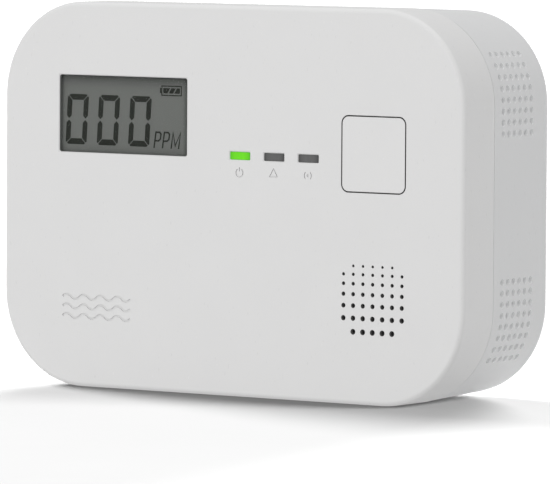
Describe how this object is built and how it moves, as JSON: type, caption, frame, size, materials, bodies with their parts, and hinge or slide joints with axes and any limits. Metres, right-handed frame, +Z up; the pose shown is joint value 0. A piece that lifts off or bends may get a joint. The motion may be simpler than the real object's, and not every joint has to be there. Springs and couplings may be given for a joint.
{
  "type": "carbon monoxide detector",
  "caption": "Free-standing or wall-hung carbon monoxide alarm: rounded white case with display, lamps, test button, sounder grille, side vents and a hinged battery door.",
  "frame": {"origin": "middle of the underside of the case", "axes": "+X to the right seen from the front, -Y out of the face, +Y towards the wall, +Z up"},
  "size_m": [0.12, 0.036, 0.084],
  "materials": {
    "cover_plastic": "fine grained moulded plastic, off-white",
    "housing_plastic": "fine grained moulded plastic, off-white",
    "door_plastic": "fine grained moulded plastic, off-white",
    "button_plastic": "fine grained moulded plastic, off-white",
    "label": "blank foil label",
    "clear_lens": "clear moulded acrylic",
    "display_glass": "grey-green liquid crystal with dark figures",
    "backlight": "milky light guide",
    "frame_plastic": "plain",
    "lit_pipe": "translucent, lit green",
    "dark_pipe": "smoked translucent, unlit",
    "led_green": "clear lamp body",
    "led_yellow": "clear lamp body",
    "led_red": "clear lamp body",
    "board": "glass fibre board with green solder resist",
    "chip_black": "moulded package",
    "chip_tan": "fired ceramic",
    "tin": "tinned",
    "steel": "plated steel",
    "can_sleeve": "shrunk sleeve over an aluminium can",
    "ferrite": "ferrite core with enamelled wire",
    "sensor_metal": "drawn can",
    "sensor_cap_plastic": "plain",
    "sounder_plastic": "plain",
    "brass_sheet": "thin sheet",
    "piezo": "silvered ceramic",
    "foam": "closed cell foam",
    "mesh_cloth": "fine woven cloth",
    "cell_wrap": "plain wrapped AA cell"
  },
  "bodies": {
    "case": {"front_cover": "cover_plastic", "rear_housing": "housing_plastic", "rating_label": "label", "display_lens": "clear_lens", "lcd_glass": "display_glass", "lcd_backlight": "backlight", "lcd_frame": "frame_plastic", "lcd_pins": "tin", "light_pipe_power": "lit_pipe", "light_pipe_fault": "dark_pipe", "light_pipe_alarm": "dark_pipe", "led_power": "led_green", "led_fault": "led_yellow", "led_alarm": "led_red", "tact_switch": "chip_black", "circuit_board": "board", "microcontroller": "chip_black", "sensor_amplifier": "chip_black", "crystal": "steel", "chip_resistors": "chip_black", "chip_capacitors": "chip_tan", "electrolytic_capacitors": "can_sleeve", "sounder_coil": "ferrite", "drive_transistor": "chip_black", "co_sensor_can": "sensor_metal", "co_sensor_cap": "sensor_cap_plastic", "co_sensor_leads": "tin", "sounder_housing": "sounder_plastic", "sounder_lid": "sounder_plastic", "piezo_disc": "brass_sheet", "piezo_ceramic": "piezo", "sounder_gasket": "foam", "sounder_pins": "tin", "dust_mesh": "mesh_cloth", "battery_cell_lower": "cell_wrap", "battery_cell_upper": "cell_wrap", "battery_bridge": "steel", "battery_contact_positive": "steel", "battery_contact_negative": "steel", "housing_screws": "steel", "board_screws": "steel"},
    "door": {"battery_door": "door_plastic"},
    "button": {"test_button": "button_plastic"},
    "plunger": {"tact_plunger": "sounder_plastic"}
  },
  "joints": [
    {"name": "door_hinge", "type": "hinge", "parent": "case", "child": "door", "pos_m": [-0.00625, 0.0162, 0.0227], "axis": [-1, 0, 0], "range_deg": [0, 100]},
    {"name": "button_press", "type": "slide", "parent": "case", "child": "button", "axis": [0, 1, 0], "range_m": [0, 0.0005], "stiffness_N_per_m": 2000},
    {"name": "plunger_press", "type": "slide", "parent": "case", "child": "plunger", "axis": [0, 1, 0], "range_m": [0, 0.0005]}
  ],
  "couplings": [
    {"joint": "plunger_press", "follows": "button_press", "ratio": 1}
  ]
}
